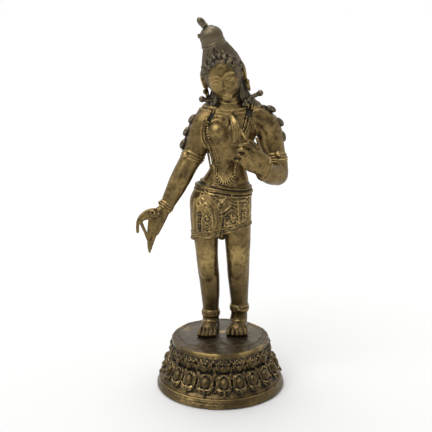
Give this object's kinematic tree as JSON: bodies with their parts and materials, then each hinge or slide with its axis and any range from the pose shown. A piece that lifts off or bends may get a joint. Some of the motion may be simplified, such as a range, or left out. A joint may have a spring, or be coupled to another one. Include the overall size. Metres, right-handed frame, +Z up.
{
  "type": "standing goddess figure on lotus base",
  "caption": "Cast brass standing goddess with a tall topknot, bare arms, necklaces and a short wrapped skirt, on a round double lotus base.",
  "frame": {"origin": "middle of the round base's flat underside", "axes": "+Z up through the figure, -Y the way the figure faces, +X to the viewer's right"},
  "size_m": [0.1217, 0.1066, 0.2993],
  "materials": {
    "figure_brass": "aged cast brass, rubbed bright on the high places and dark brown in the hollows",
    "base_brass": "aged cast brass, darker than the figure, with dirt between the petals"
  },
  "bodies": {
    "root": {"figure": "figure_brass", "lotus_base": "base_brass"}
  },
  "joints": []
}
